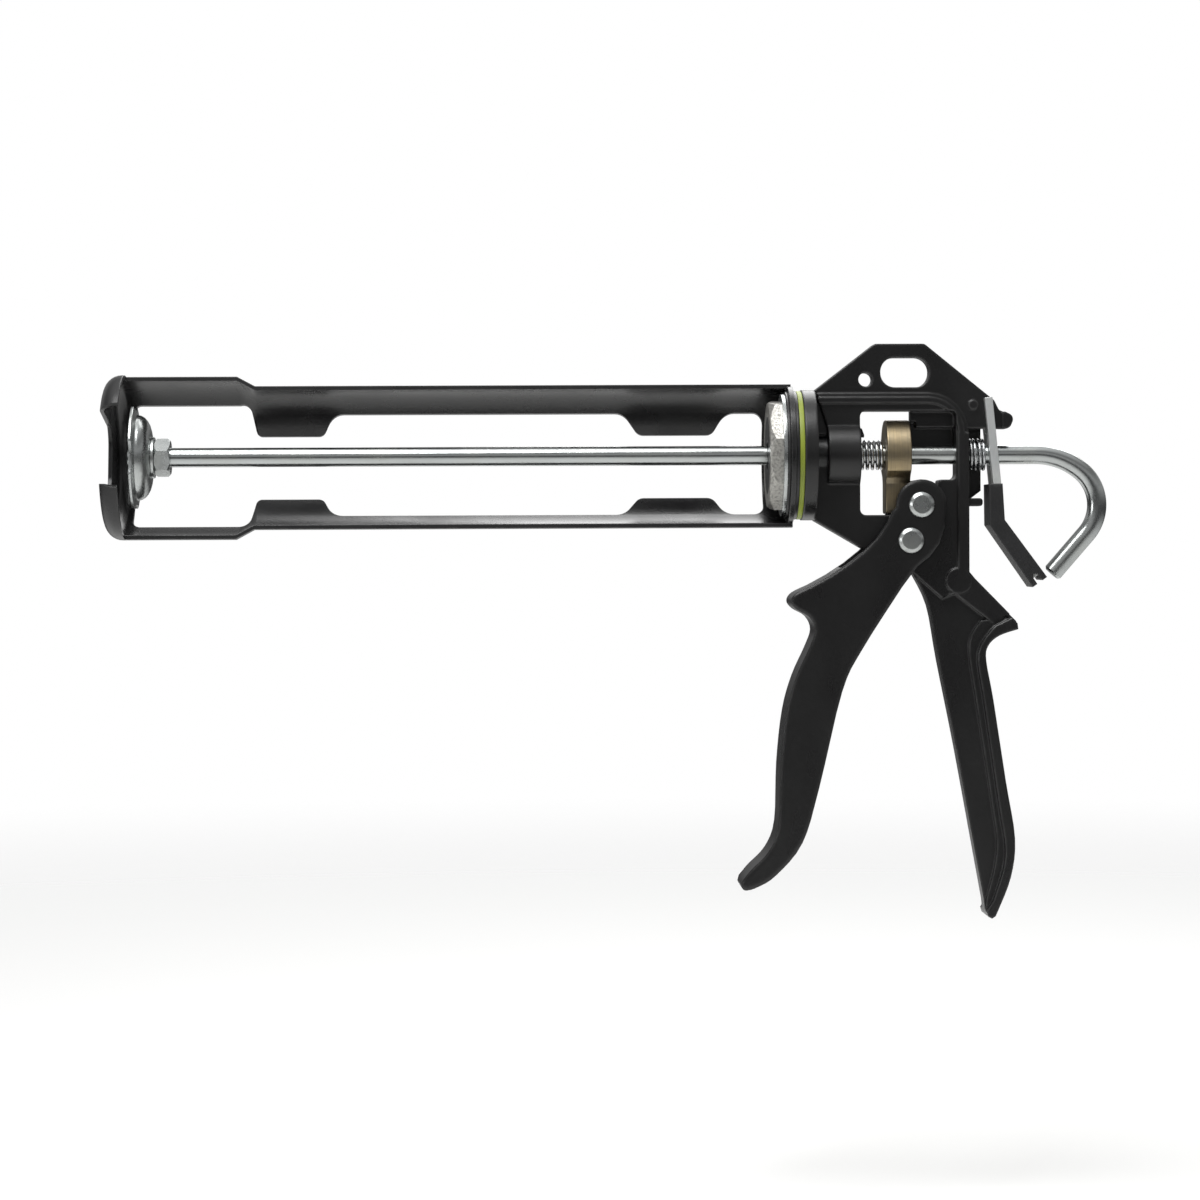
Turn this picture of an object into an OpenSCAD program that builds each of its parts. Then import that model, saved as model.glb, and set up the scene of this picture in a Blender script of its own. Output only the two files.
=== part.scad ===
// Rotating-frame caulking gun for a standard 50 mm sealant cartridge.
// The rod runs along X, the nozzle end faces -X, the handle hangs down (-Z) and
// the open side of the cartridge frame faces -Y. The origin is on the rod axis
// at the front face of the frame's rear plate. Millimetres.

/* [Cartridge frame] */
// Inner radius of the half-pipe rails
rail_r = 26.6; // [26.2:0.1:27]
// Inner radius of the wider front section
nose_r = 30.4; // [30:0.1:31]
// Outer radius of the rolled corner between front plate and rails
nose_round = 6.5; // [5:0.5:7]
// Outer face of the front plate, measured ahead of the rear plate
bay_len = 264.5; // [262:0.5:270]
// Thickness of the sheet steel
sheet = 1.6; // [1.2:0.1:1.8]
// Rotation of the frame about the rod
frame_turn = -9; // [-20:1:20]
// Half width of the nozzle notch
notch_w = 13; // [11:0.5:14]

/* [Rod and plunger] */
// Diameter of the push rod
rod_d = 7.5; // [7:0.1:7.8]
// Front end of the rod
rod_front = -256; // [-258:0.5:-250]
// Where the hook starts to bend
hook_x = 97; // [95:0.5:100]
// Radius of the first bend of the hook
hook_r1 = 28; // [24:0.5:30]
// Radius of the second bend of the hook
hook_r2 = 17.2; // [16:0.2:18]
// Rim radius of the pressed plunger
plunger_r = 20.7; // [19:0.1:22]

/* [Body casting] */
// Thickness of the hanging bracket and handle web
web_t = 8; // [7:0.5:8]
// Thickness of the frame around the window
frame_t = 12; // [11:0.5:13]
// Thickness of the raised rib around the frame
rib_t = 14.6; // [14:0.2:15]
// Radius of the round hanging hole
hang_r = 2.7; // [2.2:0.1:3]
// Radius of the ends of the hanging slot
slot_r = 5.8; // [5:0.1:6]
// Width of the palm flange on the handle
palm_w = 21; // [18:0.5:22]

/* [Trigger] */
// Width of the trigger over its ears
trigger_w = 25; // [24.6:0.1:26]
// Thickness of each ear
ear_t = 4; // [3.5:0.1:4]
// Wall left in front of the trigger's hollow
trigger_wall = 5; // [4:0.5:6]
// Head radius of the pivot and drive rivets
head_r = 5.1; // [4.6:0.1:5.4]

/* [Release lever] */
// Thickness of the lock plate
plate_t = 3; // [2.5:0.1:3.2]
// Lean of the lock plate when it grips the rod
plate_lean = 5.7; // [5:0.1:6]

/* [Hidden] */
$fn = 64;
eps = 0.02;
rod_r = rod_d / 2;
run = 0.08;
neck_r = 15;
collar_r = 25.35;
ring_x = [-7.6, -2.6, -1, 0, 2, 3.4, 5.4, 10.5];
pivot = [47.2, -33.3];
drive = [51.3, -19.5];
shaft_r = 3.2;
block_x = [38, 47.5];
block_r = 13.5;
bar_x = 70.4;
pocket_x = 22;
hinge = [80, 17];
plate_x = 78.6;
nose_x = [-214, -207];
bush_r = 3.5;
paint = [0.09, 0.09, 0.09];
zinc = [0.75, 0.76, 0.78];

// ---------- helpers ----------

function unit(v) = v / norm(v);

// Corner i of the outline [[x, z, radius], ...], rounded by an arc of n steps
function corner(p, i, n) =
    let (
        m = len(p),
        c = [p[i].x, p[i].y],
        before = p[(i + m - 1) % m],
        after = p[(i + 1) % m],
        a = unit([before.x, before.y] - c),
        b = unit([after.x, after.y] - c),
        r = p[i].z,
        half = acos(max(-1, min(1, a * b))) / 2,
        o = c + unit(a + b) * r / sin(half),
        s = c + a * r / tan(half) - o,
        e = c + b * r / tan(half) - o,
        a0 = atan2(s.y, s.x),
        sweep = (atan2(e.y, e.x) - a0 + 540) % 360 - 180
    )
    r <= 0 ? [c] : [for (k = [0:n]) o + r * [cos(a0 + sweep * k / n), sin(a0 + sweep * k / n)]];

function rounded(p, n = 6) = [for (i = [0:len(p) - 1]) each corner(p, i, n)];

// Smooth curve through the points, n steps between neighbours
function through(a, b, c, d, t) =
    0.5 * (2 * b + (c - a) * t + (2 * a - 5 * b + 4 * c - d) * t * t
    + (3 * b - a - 3 * c + d) * t * t * t);
function spline(p, n = 4) = [
    for (i = [0:len(p) - 2], k = [0:n - 1])
        through(p[max(i - 1, 0)], p[i], p[i + 1], p[min(i + 2, len(p) - 1)], k / n),
    p[len(p) - 1]
];

// Open curve moved sideways by d
function shifted(p, d) = [
    for (i = [0:len(p) - 1])
        let (t = unit(p[min(i + 1, len(p) - 1)] - p[max(i - 1, 0)]))
        p[i] + d * [-t.y, t.x]
];
function reversed(p) = [for (i = [len(p) - 1:-1:0]) p[i]];

// Flat outline in X and Z, solid from y0 to y1
module slab(y0, y1) {
    translate([0, y1, 0])
        rotate([90, 0, 0])
            linear_extrude(y1 - y0)
                children();
}

module shaft_x(x0, x1, r) {
    translate([x0, 0, 0])
        rotate([0, 90, 0])
            cylinder(r = r, h = x1 - x0);
}

module shaft_y(at, y0, y1, r) {
    translate([at.x, y1, at.y])
        rotate([90, 0, 0])
            cylinder(r = r, h = y1 - y0);
}

module washer_x(x0, x1, r_out, r_in) {
    difference() {
        shaft_x(x0, x1, r_out);
        shaft_x(x0 - 1, x1 + 1, r_in);
    }
}

// Coil spring about X, with its end coils closed up
module coil_x(x0, x1, r, wire, turns) {
    side = 8;
    steps = 22;
    count = turns * steps;
    lead = wire / 2;
    function height(u) =
        u < 1 ? u * wire
        : u > turns - 1 ? x1 - x0 - 2 * lead - (turns - u) * wire
        : wire + (u - 1) / (turns - 2) * (x1 - x0 - 2 * lead - 2 * wire);
    points = [
        for (i = [0:count], j = [0:side - 1])
            let (
                a = 360 * i / steps,
                b = 360 * j / side,
                q = r + wire / 2 * cos(b)
            )
            [x0 + lead + height(i / steps) + wire / 2 * sin(b), q * cos(a), q * sin(a)]
    ];
    skin = [
        for (i = [0:count - 1], j = [0:side - 1])
            let (k = (j + 1) % side)
            [i * side + j, i * side + k, (i + 1) * side + k, (i + 1) * side + j]
    ];
    ends = [
        [for (j = [side - 1:-1:0]) j],
        [for (j = [0:side - 1]) count * side + j]
    ];
    polyhedron(points, concat(skin, ends), 4);
}

// ---------- cartridge frame ----------

// Rolled corner of radius r, as radius and distance along the rod
function nose_arc(r) = [
    for (k = [0:8])
        let (a = 90 * k / 8)
        [nose_r + sheet - nose_round + r * sin(a), nose_round - bay_len - r * cos(a)]
];

// Half-pipe of sheet steel
module half_pipe() {
    rotate([0, 90, 0])
        rotate_extrude(angle = 180)
            polygon([
                [rail_r, 0],
                [rail_r, nose_x[1]],
                [nose_r, nose_x[0]],
                [nose_r, nose_round - bay_len],
                [nose_r + sheet, nose_round - bay_len],
                [nose_r + sheet, nose_x[0]],
                [rail_r + sheet, nose_x[1]],
                [rail_r + sheet, 0]
            ]);
}

// Front plate with its rolled rim and a short lip behind it
module front_plate() {
    lip = 1;
    rotate([0, 90, 0])
        rotate_extrude()
            polygon(concat(
                [[0, sheet - bay_len]],
                nose_arc(nose_round - sheet),
                [[nose_r, nose_round + lip - bay_len], [nose_r + sheet, nose_round + lip - bay_len]],
                reversed(nose_arc(nose_round)),
                [[0, -bay_len]]
            ));
}

// The side opening between the rails: narrow at the two pairs of pads
module side_window() {
    rail_z = 20.3;
    nose_z = 24.3;
    pad_z = 12.65;
    pad_1 = [-207.5, -181.5];
    pad_2 = [-58, -28];
    foot = 4;
    upper = [
        [-bay_len + nose_round + 2, nose_z, 3],
        [nose_x[0] + 4, nose_z, 4],
        [pad_1[0], pad_z, 2.5],
        [pad_1[1], pad_z, 3],
        [pad_1[1] + foot, rail_z, 7],
        [pad_2[0] - foot - 1, rail_z, 7],
        [pad_2[0] + 1, pad_z, 4],
        [pad_2[1], pad_z, 4],
        [pad_2[1] + foot + 1, rail_z, 7],
        [-8, rail_z, 4]
    ];
    lower = [for (i = [len(upper) - 1:-1:0]) [upper[i].x, -upper[i].y, upper[i].z]];
    polygon(rounded(concat(upper, lower)));
}

module nozzle_notch() {
    r = 8;
    y = 7.6;
    wide = notch_w + 1.4;
    rotate([90, 0, 90])
        translate([0, 0, -bay_len - 1])
            linear_extrude(12)
                polygon(rounded([
                    [-50, -wide - 14, 0],
                    [-30.6, -wide - 6, 4],
                    [-26, -wide, 6],
                    [3, -notch_w, 4],
                    [y, -notch_w + 4, r],
                    [y, notch_w - 4, r],
                    [3, notch_w, 4],
                    [-26, wide, 6],
                    [-30.6, wide + 6, 4],
                    [-50, wide + 14, 0]
                ]));
}

module cradle() {
    color(paint)
    rotate([frame_turn, 0, 0]) {
        difference() {
            union() {
                difference() {
                    half_pipe();
                    slab(4, 40) side_window();
                }
                front_plate();
            }
            nozzle_notch();
        }
        // rear plate around the neck of the body
        difference() {
            union() {
                shaft_x(0, sheet + 0.35, rail_r + 0.1);
                intersection() {
                    shaft_x(0, sheet + 0.35, rail_r + sheet);
                    translate([-5, 0, -50])
                        cube([10, 50, 100]);
                }
            }
            shaft_x(-1, 5, neck_r + run);
        }
    }
}

// ---------- clamping stack ----------

module cradle_nut() {
    flats = 41;
    color([0.66, 0.66, 0.64])
    difference() {
        intersection() {
            translate([ring_x[0], 0, 0])
                rotate([7, 0, 0])
                    rotate([0, 90, 0])
                        rotate([0, 0, 22.5])
                            cylinder(d = flats / cos(22.5), h = ring_x[1] - ring_x[0], $fn = 8);
            translate([ring_x[0], 0, 0])
                rotate([0, 90, 0])
                    cylinder(r1 = flats / 2 - 0.4, r2 = flats / 2 + 4, h = ring_x[1] - ring_x[0]);
        }
        shaft_x(ring_x[0] - 1, ring_x[1] + 1, neck_r);
    }
}

module steel_washer() {
    color(zinc)
    washer_x(ring_x[1], ring_x[2], 23.8, neck_r);
}

module slide_washer() {
    color([0.07, 0.07, 0.07])
    washer_x(ring_x[2], ring_x[3], 24.6, neck_r);
}

module backing_ring() {
    color([0.07, 0.07, 0.07])
    washer_x(ring_x[4], ring_x[5], 25, neck_r);
}

module friction_ring() {
    color([0.5, 0.6, 0.15])
    washer_x(ring_x[5], ring_x[6], 25, neck_r);
}

// ---------- body casting ----------

palm_front = [[70.2, -45], [74.5, -50.1], [82.7, -58.7], [88.9, -64.9]];
palm_back = [
    [88.9, -67.9], [81.5, -70.4], [77.2, -74.3], [76.4, -80.1], [79.2, -95.7], [83.9, -126.9],
    [87.4, -149], [85.8, -164], [80.6, -177.5]
];
palm_tip = [[79.8, -179.3], [78.4, -180.2], [77, -179.5], [76.4, -177.6]];
front_edge = [[48.4, -45.8], [54.6, -58.7], [58.5, -80.1], [65.1, -113.3], [72.5, -154.2], [76, -173.6]];
step_1 = [[74.9, -64.5], [70.2, -74], [72.9, -95.7], [78.8, -134.7], [80.9, -154], [76.8, -173]];
step_2 = [[80, -66.6], [73.4, -77], [75.6, -95.7], [81.1, -134.7], [83.8, -156], [79, -173.5]];

function palm_curve() = concat(spline(palm_front, 3), spline(palm_back, 4));

// Everything behind a step line, down to the tip of the handle
module behind(line) {
    polygon(concat(
        reversed(spline(line, 4)),
        [[86.5, -63.6], [88.6, -65.6]],
        spline(palm_back, 4),
        palm_tip
    ));
}

module handle_2d() {
    polygon(concat(
        [[60, -40]],
        palm_curve(),
        palm_tip,
        reversed(spline(front_edge, 4))
    ));
}

// Frame around the window; in moves its top and rear edges inward
module frame_2d(in = 0) {
    polygon(rounded([
        [11.3, 24 - in, 0.8],
        [bar_x - in, 24 - in, 15.8 - in],
        [bar_x - in, -52, 0],
        [60, -56, 0],
        [48.4, -45.8, 3],
        [28.5, -36.1, 3],
        [10.4, -25.5, 0],
        [10.4, -1, 0],
        [15.6, 3, 2],
        [15.6, 10, 2]
    ]));
}

module bracket_2d() {
    polygon(rounded([
        [10.4, 25, 0],
        [33.9, 43.1, 2.5],
        [53.4, 43.1, 2.5],
        [80.6, 21, 2],
        [82.4, 17.3, 1.5],
        [88.4, 14.8, 2.4],
        [86.4, 9.9, 2.4],
        [78, 10.1, 0],
        [bar_x - 1, 10.1, 0],
        [bar_x - 1, 8, 0],
        [10.4, 8, 0]
    ]));
}

module window_2d() {
    polygon(rounded([
        [28.1, -23.4, 2.2],
        [28.1, 17, 2.2],
        [65.5, 17, 2.2],
        [65.5, -9.75, 2.2],
        [58.6, -9.75, 1],
        [58.6, -23.4, 2.2]
    ]));
}

module hang_slot_2d() {
    half = 9.55 - slot_r / 2;
    polygon(rounded([
        [45.8 - half - slot_r / 2, 32 - slot_r, slot_r - 0.2],
        [45.8 + half + slot_r / 2, 32 - slot_r, slot_r - 0.2],
        [45.8 + half + slot_r / 2, 32 + slot_r, slot_r - 0.2],
        [45.8 - half - slot_r / 2, 32 + slot_r, slot_r - 0.2]
    ], 12));
}

module body_solid() {
    boss_r = 12.8;
    half_web = web_t / 2;
    half_rib = rib_t / 2;
    shaft_x(ring_x[0], ring_x[6] + 1, neck_r);
    shaft_x(ring_x[6], ring_x[7], collar_r);
    // core in the recess between the collar and the frame, and the front boss
    shaft_x(9, 16, 7.5);
    slab(-2.5, 2.5) translate([9, -2]) square([8, 26]);
    shaft_x(15.6, 28.1, boss_r);
    slab(-half_web, half_web) bracket_2d();
    slab(-frame_t / 2, frame_t / 2) frame_2d();
    // raised rib that follows the top and rear of the frame
    slab(-half_rib, half_rib) difference() {
        frame_2d(1.6);
        frame_2d(4);
    }
    slab(-half_rib + 0.1, half_rib - 0.1) translate([66, -50]) square([bar_x - 66, 58.5]);
    // handle: web, step and palm flange
    slab(-half_web - 0.6, half_web + 0.6) handle_2d();
    slab(-half_rib + 0.4, half_rib - 0.4) behind(step_1);
    slab(-palm_w / 2, palm_w / 2) behind(step_2);
    shaft_y([66.3, -49], -half_rib, half_rib, 5);
    slab(-half_rib + 0.2, half_rib - 0.2)
        polygon([[62.6, -52.4], [69.8, -45.4], [86, -62], [80, -66]]);
    // horn behind the lock plate, side boss and stop tab
    slab(-5.2, 5.2) polygon(rounded([
        [83.6, 17.1, 0.8], [88.4, 14.8, 2.4], [86.4, 9.9, 2.2], [83.6, 10.2, 0.4]
    ]));
    shaft_y([72.3, 19.3], -5.2, 5.2, 1.9);
    slab(-half_web - 0.2, half_web + 0.2) polygon(rounded([
        [69, -17, 0], [76, -17, 1.2], [76, -20.1, 1.2], [69, -20.1, 0]
    ]));
}

module body_casting() {
    color(paint)
    union() {
        difference() {
            body_solid();
            slab(-20, 20) window_2d();
            shaft_x(-20, bar_x + 2, rod_r + run);
            shaft_x(pocket_x, 28.2, 6.6);
            shaft_x(ring_x[0] - 1, ring_x[0] + 3, 6);
            shaft_y([30.4, 29.25], -10, 10, hang_r);
            slab(-10, 10) hang_slot_2d();
            shaft_y(pivot, -10, 10, shaft_r + run);
        }
        // webs on the far side only
        slab(5, 7.2) polygon([[48.4, 18], [66.4, 18], [66.4, -1], [48.4, -1]]);
        slab(1.5, 6) polygon([
            [48.4, 17.5], [66.4, 17.5], [66.4, 10.7], [50.6, 10.7], [50.6, 13], [48.4, 13]
        ]);
        slab(2.5, 6) polygon([[27.6, 11], [29.6, 10.4], [30.5, 8], [30.5, 7], [27.6, 7]]);
        slab(6.9, 9) polygon([[67, 10.2], [76.6, 10.2], [76.6, -14], [72, -17.5], [67, -17.5]]);
    }
}

// ---------- rod and plunger ----------

module push_rod() {
    a1 = 40;
    a2 = 91;
    tail = 20.6;
    tip = 0.8;
    lap = 0.6;
    step = 0.06;
    phi = 90 - a1 - a2;
    c1 = [hook_x, -hook_r1];
    c2 = c1 + (hook_r1 - hook_r2) * [sin(a1), cos(a1)];
    toe = c2 + hook_r2 * [cos(phi), sin(phi)];
    color(zinc)
    union() {
        shaft_x(rod_front + 1, hook_x, rod_r);
        translate([rod_front, 0, 0])
            rotate([0, 90, 0])
                cylinder(r1 = rod_r - 1, r2 = rod_r, h = 1);
        bend(c1, hook_r1, 90 - a1, a1 + lap, rod_r - step);
        bend(c2, hook_r2, phi, a2 + lap, rod_r - 2 * step);
        translate([toe.x, 0, toe.y])
            rotate([0, -180 - phi, 0])
                translate([0, 0, -step]) {
                    cylinder(r = rod_r - step, h = tail - tip);
                    translate([0, 0, tail - tip])
                        cylinder(r1 = rod_r - step, r2 = rod_r - tip, h = tip);
                }
    }
}

// Arc of the rod about the point at, from angle a onward in the X, Z plane
module bend(at, r, a, sweep, bar) {
    translate([at.x, 0, at.y])
        rotate([90, 0, 0])
            rotate_extrude(angle = sweep, start = a)
                translate([r, 0])
                    circle(r = bar);
}

module hex_x(x0, x1, flats) {
    difference() {
        intersection() {
            translate([x0, 0, 0])
                rotate([10, 0, 0])
                    rotate([0, 90, 0])
                        cylinder(d = flats / cos(30), h = x1 - x0, $fn = 6);
            translate([x0, 0, 0])
                rotate([0, 90, 0])
                    cylinder(r1 = flats / 2, r2 = flats / 2 + x1 - x0, h = x1 - x0);
            translate([x0, 0, 0])
                rotate([0, 90, 0])
                    cylinder(r1 = flats / 2 + x1 - x0, r2 = flats / 2, h = x1 - x0);
        }
        shaft_x(x0 - 1, x1 + 1, rod_r);
    }
}

module plunger_nut() {
    color(zinc)
    hex_x(-245.4, -239.4, 13);
}

module plunger_front_nut() {
    color(zinc)
    hex_x(-252.6, -248.6, 13);
}

module plunger_washer() {
    color(zinc)
    washer_x(-246.8, -245.5, 8, rod_r + run);
}

// Pressed dish with four lobes; its rim faces the nozzle end
module plunger_plate() {
    t = 1.2;
    rim = -253.6;
    cup = 6.8;
    wall = [for (k = [0:6]) [9.2 + 7.4 * cos(90 * k / 6), rim + 1.6 + (cup - 1.6) * sin(90 * k / 6)]];
    color(zinc)
    difference() {
        rotate([0, 90, 0])
            rotate_extrude()
                polygon(concat(
                    [[rod_r + run, rim + cup - t]],
                    [for (k = [6:-1:0]) wall[k] - t * [cos(15 * k), sin(15 * k)]],
                    [[17, rim], [plunger_r, rim - 0.4], [plunger_r, rim + t - 0.4], [18.2, rim + t]],
                    wall,
                    [[rod_r + run, rim + cup]]
                ));
        for (k = [0:3])
            rotate([k * 90, 0, 0])
                translate([0, 0, plunger_r + 15])
                    shaft_x(rim - 5, rim + 10, 17.2);
    }
}

// ---------- trigger ----------

trigger_front = [
    [8.6, -50.6], [2.4, -53.6], [0.5, -56.8], [2.6, -59.8], [7.6, -62.8], [9.8, -68], [7.4, -75],
    [2.4, -86], [-1.4, -99.6], [-3.7, -120], [-4.6, -143], [-8.4, -153.4], [-15, -160.3],
    [-18.6, -164.6]
];
trigger_back = [
    [-19.2, -166.8], [-17.6, -168.5], [-13, -167.4], [-5.6, -162.8], [4.7, -150.3], [11.3, -128.9],
    [20.3, -91.8], [28.1, -75.5], [43.7, -51.3]
];

module trigger_2d() {
    ear = [for (k = [0:14]) drive + 9.8 * [cos(185 * k / 14), sin(185 * k / 14)]];
    polygon(concat(
        [[49.5, -43.5], [54.5, -39.5], [58.2, -34.5], [60.2, -28]],
        ear,
        [[40, -22], [37.8, -26.5], [33.8, -32.4], [29, -37.2], [23, -42], [16, -46.6]],
        spline(trigger_front, 4),
        spline(trigger_back, 4)
    ));
}

// Hollow between the two side walls, open toward the handle
module trigger_hollow_2d() {
    grip = spline([
        [9.8, -68], [7.4, -75], [2.4, -86], [-1.4, -99.6], [-3.7, -120], [-4.6, -143]
    ], 4);
    polygon(concat(
        [[28, -32], [20, -44.5], [12.5, -52], [15.6, -61]],
        shifted(grip, trigger_wall),
        [[30, -140], [60, -60], [80, 0], [30, 0]]
    ));
}

module trigger() {
    inner = trigger_w / 2 - ear_t;
    color(paint)
    difference() {
        slab(-trigger_w / 2, trigger_w / 2) trigger_2d();
        slab(-inner, inner) trigger_hollow_2d();
        shaft_y(pivot, -20, 20, shaft_r);
        shaft_y(drive, -20, 20, shaft_r - 0.7);
    }
}

module rivet(at, r) {
    half = trigger_w / 2;
    union() {
        shaft_y(at, -half - 0.1, half + 0.1, r);
        for (s = [0, 1])
            mirror([0, s, 0])
                translate([at.x, -half, at.y])
                    rotate([90, 0, 0]) {
                        cylinder(r1 = head_r, r2 = head_r - 0.2, h = 0.6);
                        translate([0, 0, 0.6])
                            cylinder(r1 = head_r - 0.2, r2 = 3.6, h = 1);
                    }
    }
}

module pivot_rivet() {
    color(zinc)
    rivet(pivot, shaft_r);
}

module drive_rivet() {
    color(zinc)
    rivet(drive, shaft_r - 0.7);
}

module drive_bushing() {
    color([0.5, 0.5, 0.5])
    difference() {
        shaft_y(drive, -8, 8, bush_r);
        shaft_y(drive, -9, 9, shaft_r - 0.7);
    }
}

// ---------- driving block and springs ----------

module drive_block() {
    half = 6.5;
    tail_z = -22.9;
    neck = 28;
    color([0.42, 0.38, 0.3])
    difference() {
        translate([block_x[0], 0, 0])
            rotate([90, 0, 90])
                linear_extrude(block_x[1] - block_x[0])
                    polygon(concat(
                        [for (k = [0:36])
                            let (a = -neck + (180 + 2 * neck) * k / 36)
                            block_r * [cos(a), sin(a)]],
                        [[-half - 1.2, -8.8], [-half, -11]],
                        [[-half, tail_z + 1], [-half + 1, tail_z], [half - 1, tail_z], [half, tail_z + 1]],
                        [[half, -11], [half + 1.2, -8.8]]
                    ));
        shaft_x(block_x[0] - 1, block_x[1] + 1, rod_r + run);
    }
}

module drive_spring() {
    color(zinc)
    coil_x(pocket_x, block_x[0], 5.3, 1.4, 8);
}

module release_spring() {
    color(zinc)
    coil_x(bar_x, plate_x - 1, 5.8, 1.2, 4);
}

// ---------- release lever ----------

// Side outline of the lever around the line of its core, half thicknesses a, b, c
module lever_2d(a, b, c, end) {
    top = [80.6, -11.5];
    knee = [81.1, -26.5];
    toe = knee + (end) * unit([16.4, -23]);
    n1 = unit([-(knee - top).y, (knee - top).x]);
    n2 = unit([-(toe - knee).y, (toe - knee).x]);
    nk = unit(n1 + n2);
    polygon([
        top + a * n1,
        knee + b * nk,
        toe + c * n2,
        toe - c * n2,
        knee - b * nk,
        top - a * n1
    ]);
}

module lock_plate() {
    half = 8;
    color(zinc)
    difference() {
        union() {
            translate([plate_x, 0, 0])
                rotate([0, -plate_lean, 0])
                    translate([0, -half, -12.5])
                        cube([plate_t, 2 * half, 34.5]);
            slab(-6, 6) lever_2d(1.3, 1.3, 1.3, 26);
        }
        translate([plate_x, 0, 0])
            rotate([0, -plate_lean, 0]) {
                shaft_x(-5, 8, rod_r + 0.55);
                translate([-5, -web_t / 2 - 0.4, 8.4])
                    cube([14, web_t + 0.8, 20]);
            }
    }
}

module lever_sleeve() {
    half = 8.4;
    color([0.2, 0.2, 0.21])
    difference() {
        slab(-half, half) lever_2d(2.6, 3.1, 3.4, 28.5);
        slab(-6 - eps, 6 + eps) lever_2d(1.3 + eps, 1.3 + eps, 1.3 + eps, 26 + eps);
        translate([plate_x, 0, 0])
            rotate([0, -plate_lean, 0])
                translate([-eps, -8 - eps, -12.5 - eps])
                    cube([plate_t + 2 * eps, 16 + 2 * eps, 34.5]);
        // open slot in the end, where the steel core shows
        slab(-20, 20) intersection() {
            lever_2d(0.6, 0.6, 1.5, 40);
            translate([95.1, -60]) square([20, 13.4]);
        }
    }
}

body_casting();
cradle_nut();
steel_washer();
slide_washer();
backing_ring();
friction_ring();
cradle();
push_rod();
plunger_nut();
plunger_front_nut();
plunger_plate();
plunger_washer();
trigger();
pivot_rivet();
drive_rivet();
drive_bushing();
drive_block();
drive_spring();
lock_plate();
lever_sleeve();
release_spring();
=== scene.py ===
import math

import bpy
from bpy.props import (
    FloatProperty,
    FloatVectorProperty,
    PointerProperty,
)
from mathutils import Matrix, Vector


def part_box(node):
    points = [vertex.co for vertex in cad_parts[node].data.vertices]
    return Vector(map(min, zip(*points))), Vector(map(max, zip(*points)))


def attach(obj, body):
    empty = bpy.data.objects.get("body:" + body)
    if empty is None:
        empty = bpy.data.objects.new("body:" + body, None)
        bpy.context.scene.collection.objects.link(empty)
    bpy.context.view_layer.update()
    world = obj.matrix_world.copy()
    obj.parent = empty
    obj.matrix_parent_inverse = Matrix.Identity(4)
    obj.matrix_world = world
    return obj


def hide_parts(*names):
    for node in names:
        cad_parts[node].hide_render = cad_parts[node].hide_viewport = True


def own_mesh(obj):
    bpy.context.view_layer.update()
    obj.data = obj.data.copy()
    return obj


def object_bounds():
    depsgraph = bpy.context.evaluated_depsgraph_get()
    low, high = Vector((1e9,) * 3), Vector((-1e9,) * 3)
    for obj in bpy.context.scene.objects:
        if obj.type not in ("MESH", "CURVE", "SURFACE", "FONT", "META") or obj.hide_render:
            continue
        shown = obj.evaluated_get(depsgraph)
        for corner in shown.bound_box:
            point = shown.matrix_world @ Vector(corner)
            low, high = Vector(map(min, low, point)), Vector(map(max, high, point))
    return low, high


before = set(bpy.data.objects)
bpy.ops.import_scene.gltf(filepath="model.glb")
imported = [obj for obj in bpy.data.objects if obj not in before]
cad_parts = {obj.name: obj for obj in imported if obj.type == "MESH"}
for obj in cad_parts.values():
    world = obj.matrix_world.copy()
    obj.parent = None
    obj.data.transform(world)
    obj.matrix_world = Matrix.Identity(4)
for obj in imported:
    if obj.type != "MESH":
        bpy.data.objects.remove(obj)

CAD_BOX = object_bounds()

bl_info = {
    "name": "Caulking gun workshop",
    "version": (1, 0, 0),
    "blender": (4, 5, 0),
    "location": "View3D > Sidebar > Caulking gun",
    "description": "Finishes the caulking gun's castings, frame, rod, springs and lever",
    "category": "Object",
}

MM = 0.001

FLAT_ANGLE = math.radians(0.6)  # facets closer than this are one flat
FINE_MERGE = 0.004 * MM
CAST_MERGE = 0.04 * MM

WEAR_REACH = 0.9 * MM  # how deep the wear mask looks into the material
WEAR_BAND = (0.16, 0.4)
FINE_BUMP = 0.3 * MM
BUMP = 0.4 * MM
COARSE_BUMP = 0.6 * MM
SHEET_FILLET = 0.4 * MM
SLEEVE_FILLET = 0.8 * MM
LEVER_ZINC = (0.8, 0.82, 0.82)
SPRING_STEEL = (0.5, 0.51, 0.52)
EVEN = (1, 1, 1)  # a pattern that isn't stretched along any axis

WIRE_SIDES = 10
COIL_STEPS = 28  # steps in one turn
CLOSED_TURNS = 1.0  # at each end of a spring
CLOSED_PITCH = 0.98  # of the wire, so that closed turns touch

ROD_SIDES = 40
ROD_CHAMFER = 0.8 * MM
HOOK_START = 97 * MM
HOOK_RADII = (28 * MM, 17.2 * MM)  # of the rod's axis, in its two bends
HOOK_TURNS = (math.radians(40), math.radians(91))
HOOK_STEPS = (14, 30)
HOOK_TAIL = 20.6 * MM

CAMERA_AIM = (-73.0 * MM, 0, -56.0 * MM)
# of the object's diagonal
FLOOR_SIZE = 30
FLOOR_DROP = 0.25
FLOOR_FADE = (0.8, 5)
# name, side in m, power in W, place seen from the object's middle
LAMPS = (
    ("key", 0.8, 14, (-0.3, -0.5, 1.1)),
    ("fill", 0.4, 2.5, (-1.3, -0.7, 0.15)),
    ("back", 0.9, 9, (0.3, 0.9, 0.9)),
)
# height from straight below (0) to straight above (1), brightness
STUDIO_LEVELS = ((0.0, 0.3), (0.5, 0.06), (0.64, 0.5), (0.8, 0.2), (1.0, 1.0))


# ---------------------------------------------------------------- properties


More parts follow.
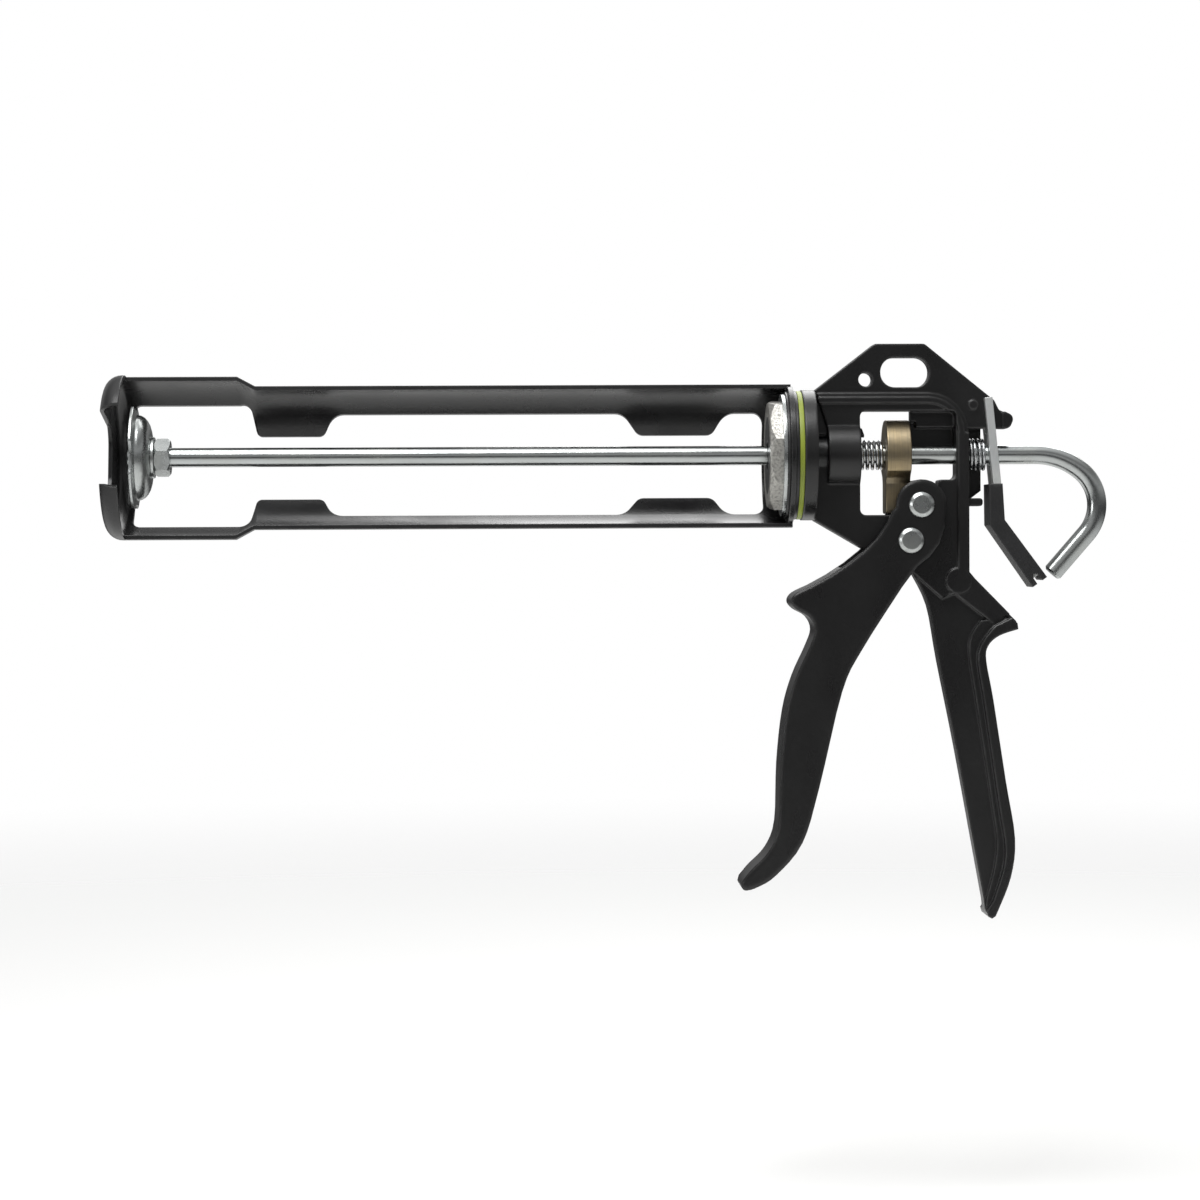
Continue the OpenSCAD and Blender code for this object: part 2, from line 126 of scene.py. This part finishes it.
class PaintSettings(bpy.types.PropertyGroup):
    """Black enamel on the castings and the sheet steel frame"""

    casting_colour: FloatVectorProperty(
        name="Casting paint", description="Colour of the paint on body and trigger",
        subtype="COLOR", size=3, min=0, max=1, default=(0.0055, 0.0054, 0.0056))
    frame_colour: FloatVectorProperty(
        name="Frame paint", description="Colour of the paint on the cartridge frame",
        subtype="COLOR", size=3, min=0, max=1, default=(0.0058, 0.0058, 0.0062))
    roughness: FloatProperty(
        name="Roughness", description="Mean roughness of the semi-gloss paint",
        min=0.05, max=1, default=0.32)
    ripple: FloatProperty(
        name="Orange peel", description="Depth of the ripple in the paint",
        min=0, max=1, default=0.12)
    wear: FloatProperty(
        name="Edge wear", description="How much the edges are rubbed lighter",
        min=0, max=1, default=0.35)


class MetalSettings(bpy.types.PropertyGroup):
    """Bare and plated metal"""

    zinc: FloatVectorProperty(
        name="Zinc plate", description="Colour of the bright plated steel",
        subtype="COLOR", size=3, min=0, max=1, default=(0.45, 0.47, 0.47))
    nut: FloatVectorProperty(
        name="Frame nut", description="Colour of the rough sintered nut",
        subtype="COLOR", size=3, min=0, max=1, default=(0.5, 0.49, 0.46))
    bronze: FloatVectorProperty(
        name="Driving block", description="Colour of the olive passivated block",
        subtype="COLOR", size=3, min=0, max=1, default=(0.235, 0.2, 0.145))
    ring: FloatVectorProperty(
        name="Friction ring", description="Colour of the nylon friction ring",
        subtype="COLOR", size=3, min=0, max=1, default=(0.29, 0.36, 0.035))
    sleeve: FloatVectorProperty(
        name="Lever sleeve", description="Colour of the moulded sleeve",
        subtype="COLOR", size=3, min=0, max=1, default=(0.014, 0.014, 0.015))


class ShapeSettings(bpy.types.PropertyGroup):
    """Edge radii, modelled and shaded, and wire sizes"""

    cast_edge: FloatProperty(
        name="Casting edge", description="Largest radius on the edges of the castings",
        unit="LENGTH", min=0.0001, max=0.001, default=0.55 * MM)
    roll_fillet: FloatProperty(
        name="Trigger fillet", description="Shaded radius on the trigger's edges",
        unit="LENGTH", min=0.0001, max=0.005, default=2.6 * MM)
    cast_fillet: FloatProperty(
        name="Casting fillet", description="Shaded radius on the body's edges and corners",
        unit="LENGTH", min=0.0001, max=0.003, default=1.3 * MM)
    sheet_edge: FloatProperty(
        name="Sheet edge", description="Largest radius on the cut edges of the frame",
        unit="LENGTH", min=0.0001, max=0.0007, default=0.4 * MM)
    drive_wire: FloatProperty(
        name="Driving spring wire", description="Wire diameter of the driving spring",
        unit="LENGTH", min=0.0008, max=0.002, default=1.4 * MM)
    release_wire: FloatProperty(
        name="Release spring wire", description="Wire diameter of the release spring",
        unit="LENGTH", min=0.0006, max=0.0016, default=1.2 * MM)


class StageSettings(bpy.types.PropertyGroup):
    """Floor, lights and camera"""

    floor_colour: FloatVectorProperty(
        name="Floor", description="Colour of the pale floor",
        subtype="COLOR", size=3, min=0, max=1, default=(0.86, 0.86, 0.85))
    turn: FloatProperty(
        name="Camera turn", description="Turn of the camera about the vertical",
        subtype="ANGLE", default=math.radians(1.24))
    tilt: FloatProperty(
        name="Camera tilt", description="How far the camera looks up",
        subtype="ANGLE", default=math.radians(-0.93))
    roll: FloatProperty(
        name="Camera roll", description="Turn of the camera about its own axis",
        subtype="ANGLE", default=math.radians(-0.25))
    distance: FloatProperty(
        name="Camera distance", description="From the camera to the object",
        unit="LENGTH", min=0.4, max=4, default=1.385)
    zoom: FloatProperty(
        name="Lens", description="Focal length in millimetres on a 36 mm sensor",
        min=20, max=300, default=106.7)


# ---------------------------------------------------------------- shader maths


class Val:
    """One value socket that can be used in ordinary arithmetic"""

    def __init__(self, shop, socket):
        self.shop = shop
        self.socket = socket

    def _math(self, operation, one, two):
        return self.shop.add("ShaderNodeMath", {"operation": operation}, {0: one, 1: two})

    def __add__(self, other):
        return self._math("ADD", self, other)

    def __rsub__(self, other):
        return self._math("SUBTRACT", other, self)

    def __mul__(self, other):
        return self._math("MULTIPLY", self, other)

    def __pow__(self, other):
        return self._math("POWER", self, other)

    def clamped(self, low=0.0, high=1.0):
        return self.shop.add(
            "ShaderNodeMapRange", {"clamp": True},
            {"Value": self, "From Min": low, "From Max": high, "To Min": low, "To Max": high})

    def between(self, low, high):
        """0 below low, 1 above high and straight between them"""
        return self.shop.add(
            "ShaderNodeMapRange", {"clamp": True},
            {"Value": self, "From Min": low, "From Max": high, "To Min": 0.0, "To Max": 1.0})


class Shop:
    """Node tree of one material"""

    def __init__(self, name):
        self.material = bpy.data.materials.new(name)
        self.material.use_nodes = True
        self.tree = self.material.node_tree
        self.shader = self.tree.nodes["Principled BSDF"]
        self.here = self.add("ShaderNodeTexCoord", {}, {}, "Object")

    def add(self, kind, settings, values, out=0):
        """A node of this kind: its settings first, then its sockets; returns one output"""
        node = self.tree.nodes.new(kind)
        for key, value in settings.items():
            setattr(node, key, value)
        for key, value in values.items():
            socket = node.inputs[key]
            if isinstance(value, Val):
                self.tree.links.new(value.socket, socket)
            else:
                socket.default_value = value
        return Val(self, node.outputs[out])

    def noise(self, scale, detail, stretch=EVEN):
        """Cloudy pattern from 0 to 1, with scale patches to the metre"""
        place = self.add("ShaderNodeMapping", {}, {"Vector": self.here, "Scale": stretch})
        return self.add(
            "ShaderNodeTexNoise", {}, {"Vector": place, "Scale": scale, "Detail": detail})

    def mix(self, factor, one, two):
        """From colour one at 0 to colour two at 1"""
        one = (*one, 1) if isinstance(one, tuple) else one
        two = (*two, 1) if isinstance(two, tuple) else two
        return self.add(
            "ShaderNodeMix", {"data_type": "RGBA"}, {0: factor, 6: one, 7: two}, 2)

    def edge(self):
        """1 on outer edges, 0 on flats: how near the far side is, looking inwards"""
        return (1.0 - self.add(
            "ShaderNodeAmbientOcclusion", {"inside": True, "only_local": True, "samples": 6},
            {"Distance": WEAR_REACH}, "AO")).between(*WEAR_BAND)

    def bump(self, height, strength, distance, fillet=0.0):
        """Relief on the surface, over edges and inner corners softened by the fillet"""
        values = {"Height": height, "Strength": strength, "Distance": distance}
        if fillet:
            values["Normal"] = self.add("ShaderNodeBevel", {"samples": 8}, {"Radius": fillet})
        return self.add("ShaderNodeBump", {}, values)

    def finish(self, colour, roughness, normal=None, **constants):
        """Connects what varies and sets what is the same all over"""
        for key, value in (("Base Color", colour), ("Roughness", roughness), ("Normal", normal)):
            if value is not None:
                self.tree.links.new(value.socket, self.shader.inputs[key])
        for key, value in constants.items():
            self.shader.inputs[key.replace("_", " ")].default_value = value
        return self.material


def rgb(values):
    """A colour property as the tuple that mix takes"""
    return tuple(values)


def enamel(name, colour, roughness, ripple, wear, fillet=SHEET_FILLET):
    """Semi-gloss black paint with orange peel, rubbed edges and faint finger marks"""
    s = Shop(name)
    grey = tuple(0.085 + 0.6 * c for c in colour)
    light = tuple(c * 1.25 + 0.001 for c in colour)
    cloud = s.noise(28, 3)
    speck = s.noise(900, 2).between(0.66, 0.74)
    rub = s.edge() * s.noise(160, 4).between(0.35, 0.7) * wear
    scuff = s.noise(90, 5, (0.35, 1, 2.4)).between(0.68, 0.8) * 0.25
    base = s.mix(cloud.between(0.3, 0.7), rgb(colour), light)
    base = s.mix(speck * 0.35, base, light)
    base = s.mix((rub + scuff * wear).clamped(), base, grey)
    smear = s.noise(45, 4, (1, 1, 0.5)).between(0.35, 0.75)
    rough = (smear * 0.12 + (roughness - 0.06) + rub * 0.2).clamped(0.05, 1)
    peel = s.noise(700, 2) * 0.7 + s.noise(2600, 1) * 0.3
    return s.finish(base, rough, s.bump(peel, ripple, BUMP, fillet),
                    Metallic=0.0, IOR=1.5, Specular_IOR_Level=0.5)


def plated(name, colour, stretch, rough):
    """Bright zinc plate with drawing lines, water marks and small pits"""
    s = Shop(name)
    dark = tuple(c * 0.62 for c in colour)
    warm = (colour[0] * 0.98, colour[1] * 0.96, colour[2] * 0.9)
    stain = s.noise(60, 5).between(0.38, 0.72)
    lines = s.noise(420, 3, stretch)
    pit = s.noise(1500, 2).between(0.68, 0.76)
    base = s.mix(stain * 0.55, rgb(colour), warm)
    base = s.mix((lines.between(0.5, 0.78) * 0.4 + pit * 0.4).clamped(), base, dark)
    value = (stain * 0.1 + lines * 0.14 + (rough - 0.08)).clamped(0.05, 1)
    return s.finish(base, value, s.bump(lines + pit * -0.5, 0.08, FINE_BUMP), Metallic=1.0)


def sintered(name, colour):
    """Rough light grey metal with open grain"""
    s = Shop(name)
    dark = tuple(c * 0.45 for c in colour)
    grain = s.noise(1100, 4)
    blotch = s.noise(120, 3)
    base = s.mix(grain.between(0.45, 0.75), rgb(colour), dark)
    base = s.mix(s.edge() * 0.4, base, (0.6, 0.6, 0.58))
    value = (grain * 0.25 + blotch * 0.15 + 0.25).clamped(0.1, 1)
    return s.finish(base, value, s.bump(grain + blotch * 0.4, 0.45, COARSE_BUMP), Metallic=1.0)


def brushed_olive(name, colour):
    """Olive bronze passivated steel with marks across the rod"""
    s = Shop(name)
    dark = tuple(c * 0.55 for c in colour)
    gold = (colour[0] * 1.5, colour[1] * 1.4, colour[2] * 1.15)
    lines = s.noise(60, 3, (60, 1, 1))
    tone = s.noise(110, 3)
    base = s.mix(tone.between(0.35, 0.7), rgb(colour), gold)
    base = s.mix(lines.between(0.45, 0.75) * 0.5, base, dark)
    value = (lines * 0.2 + tone * 0.12 + 0.22).clamped(0.1, 1)
    return s.finish(base, value, s.bump(lines, 0.12, FINE_BUMP), Metallic=1.0)


def nylon(name, colour, grain=900, rough=0.45, depth=0.15, fillet=0.0):
    """Moulded plastic with a fine spark-eroded grain and rubbed edges"""
    s = Shop(name)
    pale = tuple(min(1, c * 1.45 + 0.012) for c in colour)
    shade = tuple(c * 0.7 for c in colour)
    fine = s.noise(grain, 2)
    patch = s.noise(70, 4)
    base = s.mix(patch.between(0.35, 0.7), shade, rgb(colour))
    base = s.mix((s.edge() * 0.5 + fine.between(0.6, 0.8) * 0.25).clamped(), base, pale)
    value = (patch * 0.16 + fine * 0.1 + (rough - 0.1)).clamped(0.1, 1)
    return s.finish(base, value, s.bump(fine, depth, BUMP, fillet), Metallic=0.0)


def floor_finish(name, colour, near, far):
    """Pale matt floor that fades out between two distances from its middle"""
    s = Shop(name)
    tone = s.noise(3, 2)
    darker = tuple(c * 0.985 for c in colour)
    base = s.mix(tone.between(0.3, 0.7), rgb(colour), darker)
    away = s.add("ShaderNodeVectorMath", {"operation": "LENGTH"}, {0: s.here}, "Value")
    fade = (1.0 - away.between(near, far)) ** 1.5
    s.tree.links.new(fade.socket, s.shader.inputs["Alpha"])
    return s.finish(base, tone * 0.1 + 0.7)


# ---------------------------------------------------------------- modelling


def clear():
    """Object mode with nothing selected"""
    if bpy.context.mode != "OBJECT":
        bpy.ops.object.mode_set(mode="OBJECT")
    bpy.ops.object.select_all(action="DESELECT")


def alone(obj):
    """Object mode with only this object selected"""
    clear()
    obj.select_set(True)
    bpy.context.view_layer.objects.active = obj


def apply(obj, kind, **settings):
    """Adds a modifier, gives it these settings and applies it"""
    alone(obj)
    modifier = obj.modifiers.new(kind.title(), kind)
    for key, value in settings.items():
        setattr(modifier, key, value)
    bpy.ops.object.modifier_apply(modifier=modifier.name)


def settle(obj, material, body, nodes, smooth=38):
    """Gives the finished piece its shading, its material and its place in the frame"""
    alone(obj)
    bpy.ops.object.transform_apply(location=True, rotation=True, scale=True)
    bpy.ops.object.shade_smooth_by_angle(angle=math.radians(smooth))
    apply(obj, "WEIGHTED_NORMAL", mode="FACE_AREA", weight=90, keep_sharp=True)
    obj.data.materials.clear()
    obj.data.materials.append(material)
    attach(obj, body)
    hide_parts(*nodes)
    clear()


def workpiece(node, name, merge=FINE_MERGE):
    """Merged copy of a CAD solid, its flats cleaned to single faces

    Outlines with short joints need a wider merge, or they clamp every bevel to nothing.
    """
    clear()
    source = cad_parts[node]
    obj = bpy.data.objects.new(name, source.data.copy())
    bpy.context.scene.collection.objects.link(obj)
    alone(obj)
    bpy.ops.object.mode_set(mode="EDIT")
    bpy.ops.mesh.select_all(action="SELECT")
    bpy.ops.mesh.remove_doubles(threshold=merge)
    bpy.ops.mesh.dissolve_limited(angle_limit=FLAT_ANGLE)
    bpy.ops.object.mode_set(mode="OBJECT")
    return obj


def soften(obj, width, segments=3, angle=28):
    """Rounds every sharp edge by this radius, or by what the shortest facet allows"""
    apply(obj, "BEVEL", width=width, segments=segments, limit_method="ANGLE",
          angle_limit=math.radians(angle), use_clamp_overlap=True,
          miter_outer="MITER_ARC")


def coil(name, start, radius, wire, body_length, turns):
    """Round wire coil about X from start, with closed end coils"""
    pieces = []
    place = start
    live = turns - 2 * CLOSED_TURNS
    closed = (CLOSED_TURNS, wire * CLOSED_PITCH)
    parts = (
        closed,
        (live, (body_length - wire - 2 * CLOSED_TURNS * wire * CLOSED_PITCH) / live),
        closed,
    )
    turned = 0.0
    for count, pitch in parts:
        clear()
        bpy.ops.mesh.primitive_circle_add(
            vertices=WIRE_SIDES, radius=wire / 2, fill_type="NOTHING", rotation=(turned, 0, 0),
            location=(place + wire / 2, radius * math.cos(turned), radius * math.sin(turned)))
        ring = bpy.context.active_object
        bpy.ops.object.transform_apply(location=True, rotation=True, scale=True)
        apply(ring, "SCREW", axis="X", angle=math.tau * count, screw_offset=pitch * count,
              steps=int(COIL_STEPS * count), render_steps=int(COIL_STEPS * count),
              use_merge_vertices=False)
        turned += math.tau * count
        place += pitch * count
        pieces.append(ring)
    clear()
    for ring in pieces:
        ring.select_set(True)
    bpy.context.view_layer.objects.active = pieces[0]
    bpy.ops.object.join()
    spring = bpy.context.active_object
    spring.name = name
    bpy.ops.object.mode_set(mode="EDIT")
    bpy.ops.mesh.select_all(action="SELECT")
    bpy.ops.mesh.remove_doubles(threshold=0.02 * MM)
    bpy.ops.mesh.select_mode(type="EDGE")
    bpy.ops.mesh.select_all(action="DESELECT")
    bpy.ops.mesh.select_non_manifold()
    bpy.ops.mesh.edge_face_add()
    bpy.ops.mesh.select_all(action="SELECT")
    bpy.ops.mesh.normals_make_consistent(inside=False)
    bpy.ops.object.mode_set(mode="OBJECT")
    return spring


MATERIALS = {}


def finish_of(name):
    """Material by name, made once"""
    if name in MATERIALS:
        return MATERIALS[name]
    scene = bpy.context.scene
    paint, metal = scene.gun_paint, scene.gun_metal
    makers = {
        "casting_enamel": lambda: enamel(
            name, paint.casting_colour, paint.roughness, paint.ripple, paint.wear,
            scene.gun_shape.cast_fillet),
        "trigger_enamel": lambda: enamel(
            name, paint.casting_colour, paint.roughness, paint.ripple, paint.wear,
            scene.gun_shape.roll_fillet),
        "frame_enamel": lambda: enamel(
            name, paint.frame_colour, paint.roughness - 0.03, paint.ripple, paint.wear),
        "black_washer": lambda: enamel(name, paint.frame_colour, 0.34, 0.1, 0.5),
        "zinc_rod": lambda: plated(name, metal.zinc, (0.06, 1, 1), 0.2),
        "zinc_plate": lambda: plated(name, metal.zinc, EVEN, 0.26),
        "zinc_lever": lambda: plated(name, LEVER_ZINC, (1, 1, 0.4), 0.46),
        "spring_wire": lambda: plated(name, SPRING_STEEL, EVEN, 0.24),
        "rough_nut": lambda: sintered(name, metal.nut),
        "olive_block": lambda: brushed_olive(name, metal.bronze),
        "ring_nylon": lambda: nylon(name, metal.ring, 700, 0.4, 0.1),
        "sleeve_plastic": lambda: nylon(name, metal.sleeve, fillet=SLEEVE_FILLET),
    }
    MATERIALS[name] = makers[name]()
    return MATERIALS[name]


# ---------------------------------------------------------------- operators


class GUN_OT_body(bpy.types.Operator):
    """Die-cast body with softened edges"""

    bl_idname = "gun.body"
    bl_label = "Body casting"

    def execute(self, context):
        shape = context.scene.gun_shape
        obj = workpiece("body_casting", "gun_body", CAST_MERGE)
        soften(obj, shape.cast_edge)
        settle(obj, finish_of("casting_enamel"), "body", ["body_casting"])
        return {"FINISHED"}


class GUN_OT_trigger(bpy.types.Operator):
    """Cast trigger with softened edges and a hollow back"""

    bl_idname = "gun.trigger"
    bl_label = "Trigger"

    def execute(self, context):
        shape = context.scene.gun_shape
        obj = workpiece("trigger", "gun_trigger", CAST_MERGE)
        soften(obj, shape.cast_edge)
        settle(obj, finish_of("trigger_enamel"), "trigger", ["trigger"])
        return {"FINISHED"}


class GUN_OT_cradle(bpy.types.Operator):
    """Pressed half-pipe frame with softened cut edges"""

    bl_idname = "gun.cradle"
    bl_label = "Cartridge frame"

    def execute(self, context):
        obj = workpiece("cradle", "gun_cradle")
        soften(obj, context.scene.gun_shape.sheet_edge, 3, 32)
        settle(obj, finish_of("frame_enamel"), "cradle", ["cradle"])
        return {"FINISHED"}


class GUN_OT_stack(bpy.types.Operator):
    """Nut, washers and rings that clamp the turning frame"""

    bl_idname = "gun.stack"
    bl_label = "Clamping stack"

    def execute(self, context):
        for node, finish, slot, width in (
                ("cradle_nut", "rough_nut", "cast_nut", 0.5),
                ("steel_washer", "zinc_plate", "zinc_steel", 0.3),
                ("slide_washer", "black_washer", "black_washer", 0.2),
                ("backing_ring", "black_washer", "black_washer", 0.3),
                ("friction_ring", "ring_nylon", "friction_ring", 0.4)):
            obj = workpiece(node, "gun_" + node)
            soften(obj, width * MM, 2, 20)
            settle(obj, finish_of(finish), "body", [node], 30)
        return {"FINISHED"}


class GUN_OT_rod(bpy.types.Operator):
    """Round push rod with chamfered ends, bent to a hook at the rear"""

    bl_idname = "gun.rod"
    bl_label = "Push rod"

    def execute(self, context):
        low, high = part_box("push_rod")
        radius = high[1]
        core = radius - ROD_CHAMFER
        clear()
        bpy.ops.mesh.primitive_circle_add(
            vertices=ROD_SIDES, radius=core, fill_type="NGON",
            location=(low[0], 0, 0), rotation=(0, -math.pi / 2, 0))
        rod = bpy.context.active_object
        rod.name = "gun_push_rod"
        bpy.ops.object.transform_apply(location=True, rotation=True, scale=True)
        bpy.ops.object.mode_set(mode="EDIT")
        bpy.context.tool_settings.mesh_select_mode = (False, False, True)
        bpy.ops.mesh.select_all(action="SELECT")

        def onward(distance, direction, grow=1.0):
            bpy.ops.mesh.extrude_region_move(
                TRANSFORM_OT_translate={"value": tuple(Vector(direction) * distance)})
            if grow != 1.0:
                bpy.ops.transform.resize(value=(grow, grow, grow))

        onward(ROD_CHAMFER, (1, 0, 0), radius / core)
        onward(HOOK_START - low[0] - ROD_CHAMFER, (1, 0, 0))
        centre = Vector((HOOK_START, 0, -HOOK_RADII[0]))
        bpy.ops.mesh.spin(
            steps=HOOK_STEPS[0], angle=HOOK_TURNS[0], center=centre, axis=(0, -1, 0))
        radial = Vector((math.sin(HOOK_TURNS[0]), 0, math.cos(HOOK_TURNS[0])))
        centre = centre + radial * (HOOK_RADII[0] - HOOK_RADII[1])
        bpy.ops.mesh.spin(
            steps=HOOK_STEPS[1], angle=HOOK_TURNS[1], center=centre, axis=(0, -1, 0))
        total = HOOK_TURNS[0] + HOOK_TURNS[1]
        along = Vector((math.cos(total), 0, -math.sin(total)))
        onward(HOOK_TAIL - ROD_CHAMFER, along)
        onward(ROD_CHAMFER, along, core / radius)
        bpy.ops.mesh.select_all(action="SELECT")
        bpy.ops.mesh.remove_doubles(threshold=0.002 * MM)
        bpy.ops.mesh.normals_make_consistent(inside=False)
        bpy.ops.object.mode_set(mode="OBJECT")
        settle(rod, finish_of("zinc_rod"), "push_rod", ["push_rod"], 40)
        return {"FINISHED"}


class GUN_OT_plunger(bpy.types.Operator):
    """Pressed piston disc with its washer and nuts"""

    bl_idname = "gun.plunger"
    bl_label = "Plunger"

    def execute(self, context):
        for node, body, width in (
                ("plunger_plate", "plunger", 0.45),
                ("plunger_washer", "plunger", 0.25),
                ("plunger_nut", "push_rod", 0.3),
                ("plunger_front_nut", "push_rod", 0.3)):
            obj = workpiece(node, "gun_" + node)
            soften(obj, width * MM, 3, 18)
            settle(obj, finish_of("zinc_plate"), body, [node], 32)
        return {"FINISHED"}


class GUN_OT_rivets(bpy.types.Operator):
    """Pivot and driving rivets and the bush of the driving rivet"""

    bl_idname = "gun.rivets"
    bl_label = "Rivets"

    def execute(self, context):
        for node in ("pivot_rivet", "drive_rivet", "drive_bushing"):
            obj = workpiece(node, "gun_" + node)
            soften(obj, 0.3 * MM, 3, 18)
            settle(obj, finish_of("zinc_plate"), "trigger", [node], 32)
        return {"FINISHED"}


class GUN_OT_block(bpy.types.Operator):
    """Driving block round the rod"""

    bl_idname = "gun.block"
    bl_label = "Driving block"

    def execute(self, context):
        obj = workpiece("drive_block", "gun_drive_block")
        soften(obj, 0.5 * MM, 3, 25)
        settle(obj, finish_of("olive_block"), "drive_block", ["drive_block"])
        return {"FINISHED"}


class GUN_OT_springs(bpy.types.Operator):
    """Driving spring and release spring wound from round wire

    keep is how much of its length a spring still has when its joint squeezes it most; nothing
    here reads it.
    """

    bl_idname = "gun.springs"
    bl_label = "Springs"

    def execute(self, context):
        shape = context.scene.gun_shape
        for node, body, wire, turns, joint, keep in (
                ("drive_spring", "body", shape.drive_wire, 8, "block_slide", 0.56),
                ("release_spring", "body", shape.release_wire, 4, "release_hinge", 0.88)):
            low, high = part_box(node)
            radius = high[2] - wire / 2
            obj = coil("gun_" + node, low[0], radius, wire, high[0] - low[0], turns)
            settle(obj, finish_of("spring_wire"), body, [node], 60)
            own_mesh(obj)
        return {"FINISHED"}


class GUN_OT_lever(bpy.types.Operator):
    """Locking plate and its moulded sleeve"""

    bl_idname = "gun.lever"
    bl_label = "Release lever"

    def execute(self, context):
        plate = workpiece("lock_plate", "gun_lock_plate")
        soften(plate, 0.3 * MM, 2, 25)
        settle(plate, finish_of("zinc_lever"), "release_lever", ["lock_plate"])
        sleeve = workpiece("lever_sleeve", "gun_lever_sleeve")
        settle(sleeve, finish_of("sleeve_plastic"), "release_lever", ["lever_sleeve"])
        return {"FINISHED"}


class GUN_OT_stage(bpy.types.Operator):
    """Pale floor, soft studio light and the camera"""

    bl_idname = "gun.stage"
    bl_label = "Stage"

    def sky(self, tree):
        """White backdrop all round, with a darker studio that only lights the object"""
        add, link = tree.nodes.new, tree.links.new
        back = tree.nodes["Background"]
        back.inputs["Color"].default_value = (1, 1, 1, 1)
        studio = add("ShaderNodeBackground")
        ramp = add("ShaderNodeValToRGB")
        split = add("ShaderNodeSeparateXYZ")
        place = add("ShaderNodeTexCoord")
        half = add("ShaderNodeMapRange")
        half.inputs["From Min"].default_value = -1
        link(place.outputs["Generated"], split.inputs[0])
        link(split.outputs["Z"], half.inputs["Value"])
        link(half.outputs[0], ramp.inputs[0])
        stops = ramp.color_ramp.elements
        for where, _ in STUDIO_LEVELS[1:-1]:
            stops.new(where)
        for stop, (_, level) in zip(stops, STUDIO_LEVELS):
            stop.color = (level, level, level, 1)
        link(ramp.outputs[0], studio.inputs["Color"])
        rays = add("ShaderNodeLightPath")
        mix = add("ShaderNodeMixShader")
        link(rays.outputs["Is Camera Ray"], mix.inputs[0])
        link(studio.outputs[0], mix.inputs[1])
        link(back.outputs[0], mix.inputs[2])
        link(mix.outputs[0], tree.nodes["World Output"].inputs["Surface"])

    def execute(self, context):
        stage = context.scene.gun_stage
        low, high = (Vector(corner) for corner in CAD_BOX)
        middle = (low + high) / 2
        span = (high - low).length
        floor_z = low.z - FLOOR_DROP * span
        clear()
        bpy.ops.mesh.primitive_plane_add(
            size=FLOOR_SIZE * span, location=(middle.x, middle.y, floor_z))
        floor = context.active_object
        floor.name = "floor"
        bpy.ops.object.transform_apply(location=True, rotation=True, scale=True)
        near, far = (reach * span for reach in FLOOR_FADE)
        floor.data.materials.append(
            floor_finish("pale_floor", stage.floor_colour, near, far))

        world = bpy.data.worlds.new("studio")
        world.use_nodes = True
        self.sky(world.node_tree)
        context.scene.world = world
        context.scene.view_settings.view_transform = "Standard"

        for name, size, power, place in LAMPS:
            light = bpy.data.lights.new(name, "AREA")
            light.shape = "SQUARE"
            light.size = size
            light.energy = power
            lamp = bpy.data.objects.new(name, light)
            lamp.location = middle + Vector(place)
            lamp.rotation_euler = (middle - lamp.location).to_track_quat("-Z", "Y").to_euler()
            context.scene.collection.objects.link(lamp)

        aim = Vector(CAMERA_AIM)
        turn, tilt = stage.turn, stage.tilt
        ahead = Vector((math.sin(turn) * math.cos(tilt), math.cos(turn) * math.cos(tilt),
                        math.sin(tilt)))
        level = Vector((math.cos(turn), -math.sin(turn), 0))
        up = level.cross(ahead)
        across = level * math.cos(stage.roll) + up * math.sin(stage.roll)
        upright = up * math.cos(stage.roll) - level * math.sin(stage.roll)
        lens = bpy.data.cameras.new("camera")
        lens.sensor_width = 36
        lens.lens = stage.zoom
        lens.clip_start = 0.01
        lens.clip_end = 50
        camera = bpy.data.objects.new("camera", lens)
        rows = Matrix((across, upright, -ahead)).transposed().to_4x4()
        camera.matrix_world = Matrix.Translation(aim - ahead * stage.distance) @ rows
        context.scene.collection.objects.link(camera)
        context.scene.camera = camera
        return {"FINISHED"}


OPERATORS = (
    GUN_OT_stage,
    GUN_OT_body,
    GUN_OT_cradle,
    GUN_OT_stack,
    GUN_OT_rod,
    GUN_OT_plunger,
    GUN_OT_trigger,
    GUN_OT_rivets,
    GUN_OT_block,
    GUN_OT_springs,
    GUN_OT_lever,
)


class GUN_PT_panel(bpy.types.Panel):
    """Lists the pieces and their settings"""

    bl_label = "Caulking gun"
    bl_idname = "GUN_PT_panel"
    bl_space_type = "VIEW_3D"
    bl_region_type = "UI"
    bl_category = "Caulking gun"

    def draw(self, context):
        scene = context.scene
        for group in (scene.gun_paint, scene.gun_metal, scene.gun_shape, scene.gun_stage):
            box = self.layout.box()
            for key in group.bl_rna.properties.keys():
                if key not in ("rna_type", "name"):
                    box.prop(group, key)
        for operator in OPERATORS:
            self.layout.operator(operator.bl_idname)


GROUPS = {
    "gun_paint": PaintSettings,
    "gun_metal": MetalSettings,
    "gun_shape": ShapeSettings,
    "gun_stage": StageSettings,
}


def register():
    for cls in (*GROUPS.values(), *OPERATORS, GUN_PT_panel):
        bpy.utils.register_class(cls)
    for name, cls in GROUPS.items():
        setattr(bpy.types.Scene, name, PointerProperty(type=cls))


def unregister():
    for name in GROUPS:
        delattr(bpy.types.Scene, name)
    for cls in reversed((*GROUPS.values(), *OPERATORS, GUN_PT_panel)):
        bpy.utils.unregister_class(cls)


def main():
    register()
    for operator in OPERATORS:
        prefix, call = operator.bl_idname.split(".")
        getattr(getattr(bpy.ops, prefix), call)()
    bpy.context.view_layer.update()


if __name__ == "__main__":
    main()
